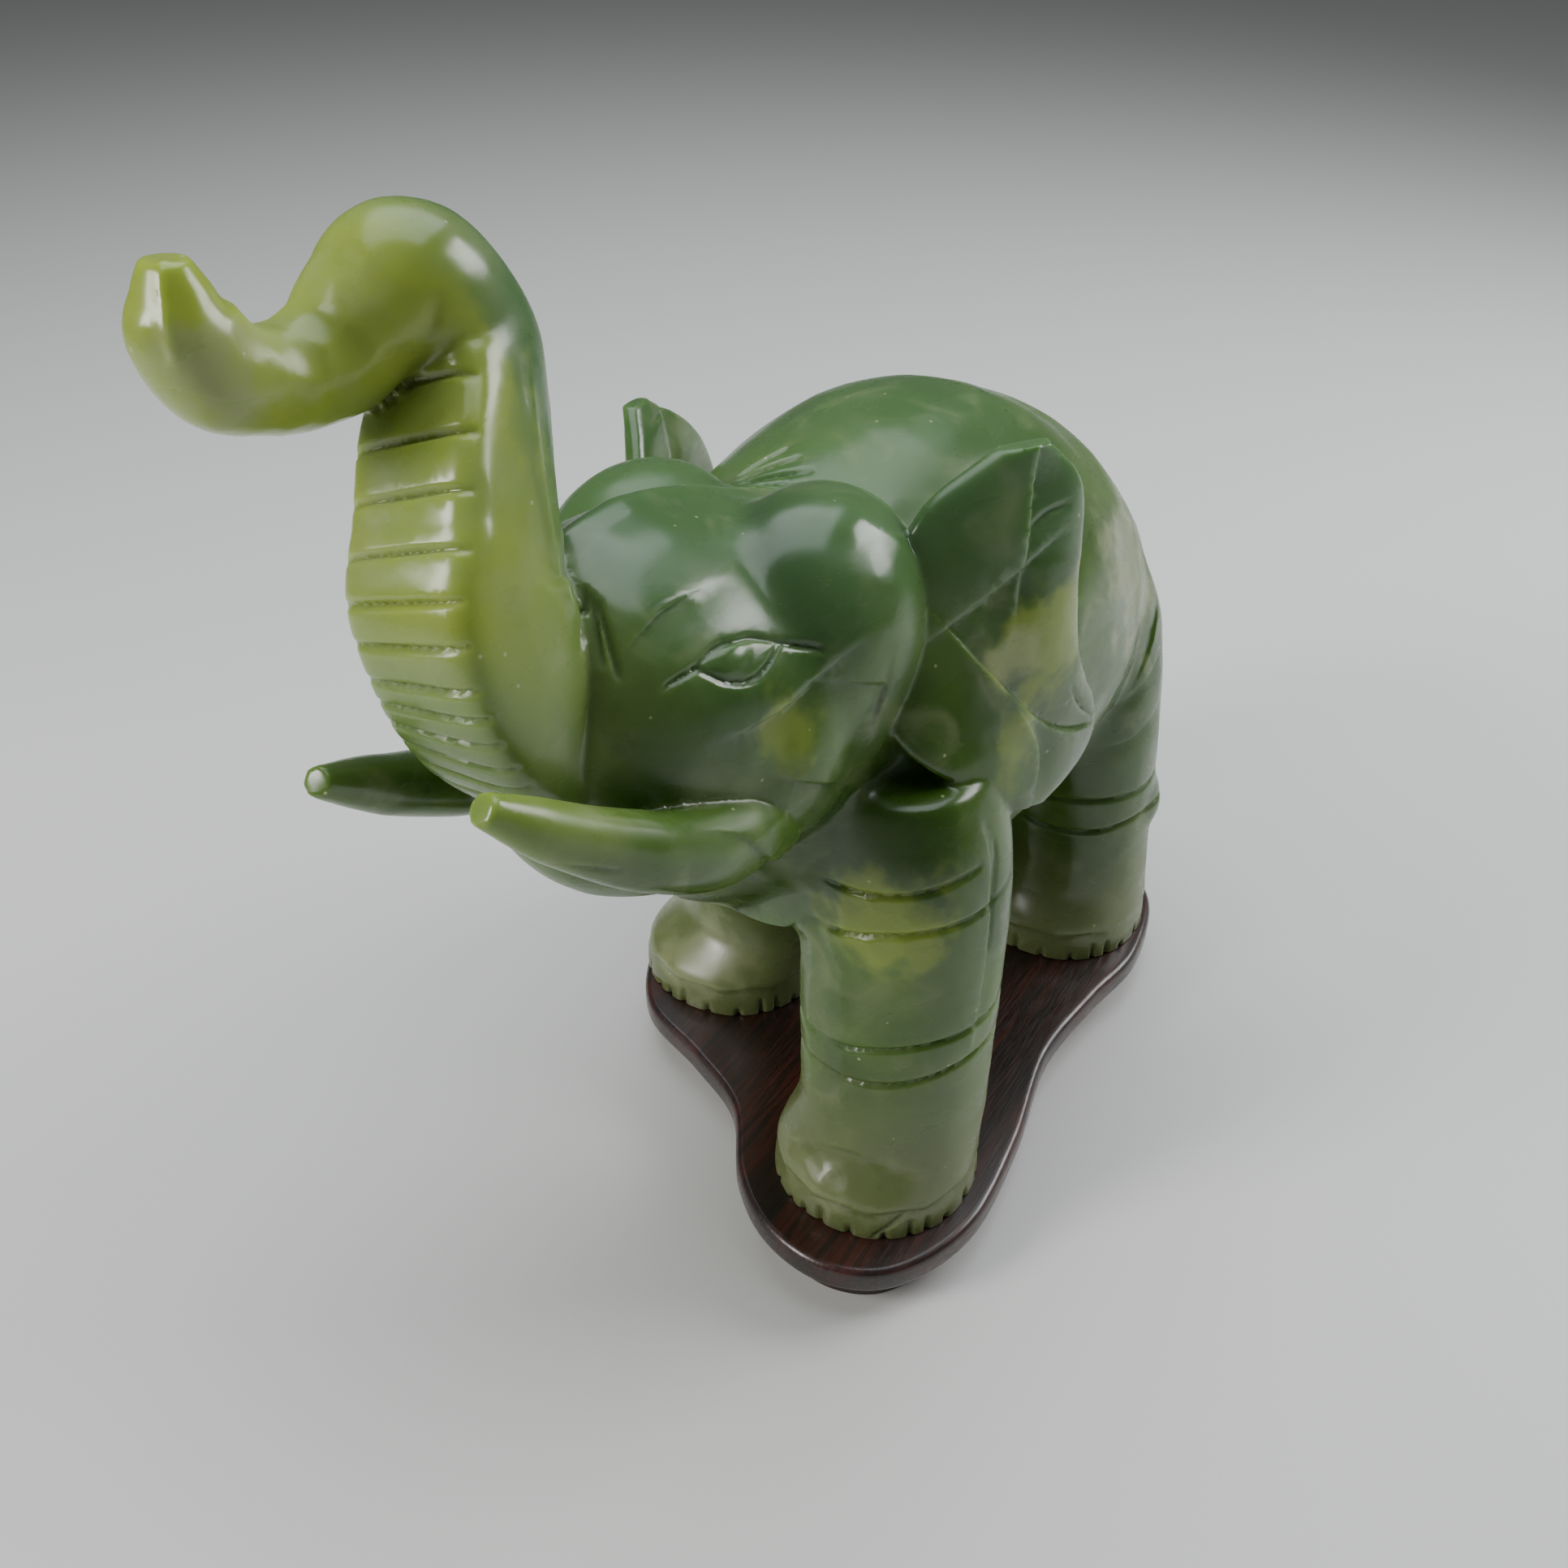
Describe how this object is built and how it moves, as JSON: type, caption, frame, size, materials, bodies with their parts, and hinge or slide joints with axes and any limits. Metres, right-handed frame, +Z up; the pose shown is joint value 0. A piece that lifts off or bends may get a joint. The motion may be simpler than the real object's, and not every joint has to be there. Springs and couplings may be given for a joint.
{
  "type": "jade elephant figurine",
  "caption": "Carved green jade elephant, trunk raised and tusks forward, standing on a low lobed dark wood stand.",
  "frame": {"origin": "on the table under the figure, in the flat underside of the stand, on the animal's middle plane", "axes": "+Z up, -Y the way the elephant faces, +X its left side"},
  "size_m": [0.1076, 0.214, 0.2011],
  "materials": {
    "jade": "hand polished translucent stone",
    "rosewood": "dark lacquered wood"
  },
  "bodies": {
    "root": {"elephant": "jade", "stand": "rosewood"}
  },
  "joints": []
}
